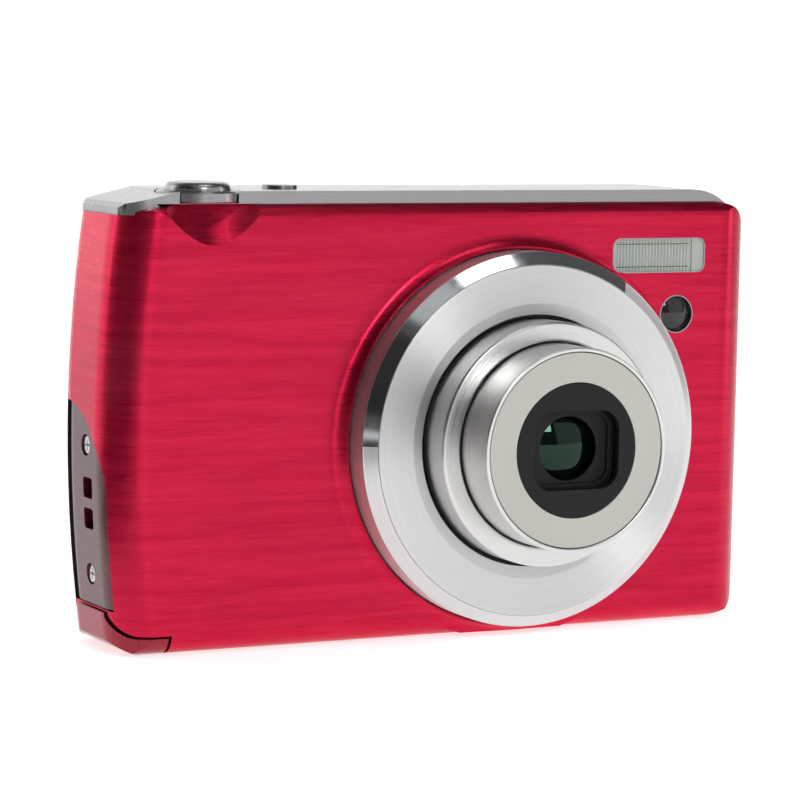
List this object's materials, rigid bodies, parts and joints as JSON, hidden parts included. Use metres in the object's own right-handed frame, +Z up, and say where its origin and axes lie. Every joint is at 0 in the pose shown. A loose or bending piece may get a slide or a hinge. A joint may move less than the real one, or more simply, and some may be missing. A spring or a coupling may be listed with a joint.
{
  "type": "compact digital camera",
  "caption": "Slim pocket camera with a telescoping zoom lens, bright lens ring, top shutter button and rear display.",
  "frame": {"origin": "mouth of the tripod socket in the bottom face, halfway along the width and depth of the body", "axes": "+X to the right seen from the front, along the width; -Y out through the lens; +Z up"},
  "size_m": [0.096, 0.0359, 0.0605],
  "materials": {
    "red_skin": "red anodised-look skin brushed across its width, semi-gloss",
    "side_red": "glossy dark red moulded plastic",
    "door_red": "glossy red moulded plastic",
    "back_plastic": "fine-grained satin black moulding",
    "satin_silver": "satin silver, finely brushed",
    "ring_satin": "satin silver with fine turned lines",
    "polished_chrome": "polished, slightly dark bright plating",
    "barrel_silver": "silver, bead-blasted with a polished rim",
    "warm_silver": "warm matt silver disc",
    "black_plastic": "matt black moulding",
    "black_metal": "black-coated thin sheet",
    "seal_rubber": "black rubber",
    "gear_plastic": "dark engineering plastic",
    "brass": "turned brass",
    "steel": "bright steel",
    "frame_alloy": "pressed alloy frame",
    "battery_case": "dark blue battery sleeve",
    "card_blue": "dark blue card",
    "lens_glass": "coated optical glass, green reflections",
    "flash_clear": "clear ribbed plastic",
    "mirror_foil": "bright folded reflector",
    "lamp_clear": "dark clear lamp cover",
    "lamp_body": "amber lamp",
    "board_green": "green circuit board",
    "screen_glass": "dark hard-coated display window",
    "panel_grey": "display panel",
    "key_silver": "silver-coated plastic keys"
  },
  "bodies": {
    "camera": {"front_skin": "red_skin", "back_cover": "back_plastic", "top_plate": "satin_silver", "side_panel": "side_red", "strap_bar": "steel", "case_screws": "steel", "chassis": "frame_alloy", "tripod_socket": "steel", "door_hinge_bracket": "steel", "door_hinge_pin": "steel", "battery": "battery_case", "battery_contacts": "black_plastic", "memory_card": "card_blue", "lens_ring_base": "polished_chrome", "lens_ring_face": "ring_satin", "fixed_barrel": "black_plastic", "barrel_seal": "seal_rubber", "zoom_motor": "steel", "focus_rods": "steel", "focus_motor": "steel", "lens_base_plate": "frame_alloy", "image_sensor": "board_green", "flash_window": "flash_clear", "flash_reflector": "mirror_foil", "flash_tube": "flash_clear", "flash_capacitor": "black_plastic", "af_window": "lamp_clear", "af_led": "lamp_body", "shutter_spring": "steel", "top_switch_board": "board_green", "main_board": "board_green", "usb_connector": "steel", "lcd_window": "screen_glass", "lcd_panel": "panel_grey", "keypad": "seal_rubber"},
    "door": {"battery_door": "door_red"},
    "drive_ring": {"drive_ring": "gear_plastic"},
    "zoom_gear": {"zoom_gear": "gear_plastic"},
    "zoom_pinion": {"zoom_pinion": "brass"},
    "outer_barrel": {"outer_barrel": "barrel_silver"},
    "inner_barrel": {"inner_barrel": "barrel_silver", "front_plate": "warm_silver", "lens_mask": "black_plastic", "front_lens_cell": "black_plastic", "front_lens": "lens_glass", "shutter_unit": "black_plastic"},
    "upper_blade": {"barrier_blade_upper": "black_metal"},
    "lower_blade": {"barrier_blade_lower": "black_metal"},
    "focus_carriage": {"focus_carriage": "gear_plastic", "focus_lens": "lens_glass"},
    "zoom_ring": {"zoom_ring": "satin_silver"},
    "shutter": {"shutter_button": "satin_silver"},
    "power": {"power_button": "satin_silver"},
    "nav_carrier": {"nav_carrier": "gear_plastic"},
    "nav_ring": {"nav_ring": "key_silver"},
    "ok": {"ok_button": "key_silver"},
    "playback": {"playback_button": "key_silver"},
    "mode": {"mode_button": "key_silver"},
    "menu": {"menu_button": "key_silver"},
    "delete": {"delete_button": "key_silver"}
  },
  "joints": [
    {"name": "lens_drive_turn", "type": "hinge", "parent": "camera", "child": "drive_ring", "pos_m": [0.0103, 0, 0.0266], "axis": [0, -1, 0], "range_deg": [-100.5, 50.5]},
    {"name": "outer_barrel_slide", "type": "slide", "parent": "camera", "child": "outer_barrel", "axis": [0, -1, 0], "range_m": [-0.005, 0.0025]},
    {"name": "inner_barrel_slide", "type": "slide", "parent": "outer_barrel", "child": "inner_barrel", "axis": [0, -1, 0], "range_m": [-0.006, 0.003]},
    {"name": "zoom_gear_turn", "type": "hinge", "parent": "camera", "child": "zoom_gear", "pos_m": [0.02865, 0, 0.01375], "axis": [0, -1, 0], "range_deg": [-231, 461]},
    {"name": "zoom_pinion_turn", "type": "hinge", "parent": "camera", "child": "zoom_pinion", "pos_m": [0.03356, 0, 0.01031], "axis": [0, -1, 0], "range_deg": [-921, 461]},
    {"name": "upper_blade_slide", "type": "slide", "parent": "inner_barrel", "child": "upper_blade", "axis": [0, 0, -1], "range_m": [0, 0.0054]},
    {"name": "lower_blade_slide", "type": "slide", "parent": "inner_barrel", "child": "lower_blade", "axis": [0, 0, 1], "range_m": [0, 0.0054]},
    {"name": "focus_slide", "type": "slide", "parent": "camera", "child": "focus_carriage", "axis": [0, -1, 0], "range_m": [-0.001, 0.001]},
    {"name": "battery_door_hinge", "type": "hinge", "parent": "camera", "child": "door", "pos_m": [-0.0129, 0, 0.00095], "axis": [0, -1, 0], "range_deg": [0, 95]},
    {"name": "zoom_ring_turn", "type": "hinge", "parent": "camera", "child": "zoom_ring", "pos_m": [-0.034, -0.004, 0.0586], "axis": [0, 0, 1], "range_deg": [-20, 20], "stiffness_Nm_per_rad": 0.01},
    {"name": "shutter_press", "type": "slide", "parent": "camera", "child": "shutter", "axis": [0, 0, -1], "range_m": [0, 0.0007], "stiffness_N_per_m": 400, "deforming": ["shutter_spring"]},
    {"name": "power_press", "type": "slide", "parent": "camera", "child": "power", "axis": [0, 0, -1], "range_m": [0, 0.0004], "stiffness_N_per_m": 500},
    {"name": "nav_tilt_up_down", "type": "hinge", "parent": "camera", "child": "nav_carrier", "pos_m": [-0.0315, 0.0079, 0.03], "axis": [1, 0, 0], "range_deg": [-2, 2], "stiffness_Nm_per_rad": 0.05},
    {"name": "nav_tilt_left_right", "type": "hinge", "parent": "nav_carrier", "child": "nav_ring", "pos_m": [-0.0315, 0.0079, 0.03], "axis": [0, 0, 1], "range_deg": [-2, 2], "stiffness_Nm_per_rad": 0.05},
    {"name": "ok_press", "type": "slide", "parent": "camera", "child": "ok", "axis": [0, -1, 0], "range_m": [0, 0.0003], "stiffness_N_per_m": 500},
    {"name": "playback_press", "type": "slide", "parent": "camera", "child": "playback", "axis": [0, -1, 0], "range_m": [0, 0.0003], "stiffness_N_per_m": 500},
    {"name": "mode_press", "type": "slide", "parent": "camera", "child": "mode", "axis": [0, -1, 0], "range_m": [0, 0.0003], "stiffness_N_per_m": 500},
    {"name": "menu_press", "type": "slide", "parent": "camera", "child": "menu", "axis": [0, -1, 0], "range_m": [0, 0.0003], "stiffness_N_per_m": 500},
    {"name": "delete_press", "type": "slide", "parent": "camera", "child": "delete", "axis": [0, -1, 0], "range_m": [0, 0.0003], "stiffness_N_per_m": 500}
  ],
  "couplings": [
    {"joint": "lens_drive_turn", "follows": "outer_barrel_slide", "rad_per_m": 349.07},
    {"joint": "inner_barrel_slide", "follows": "outer_barrel_slide", "ratio": 1.2},
    {"joint": "zoom_gear_turn", "follows": "outer_barrel_slide", "rad_per_m": -1605.7},
    {"joint": "zoom_pinion_turn", "follows": "outer_barrel_slide", "rad_per_m": 3211.4},
    {"joint": "lower_blade_slide", "follows": "upper_blade_slide", "ratio": 1}
  ]
}
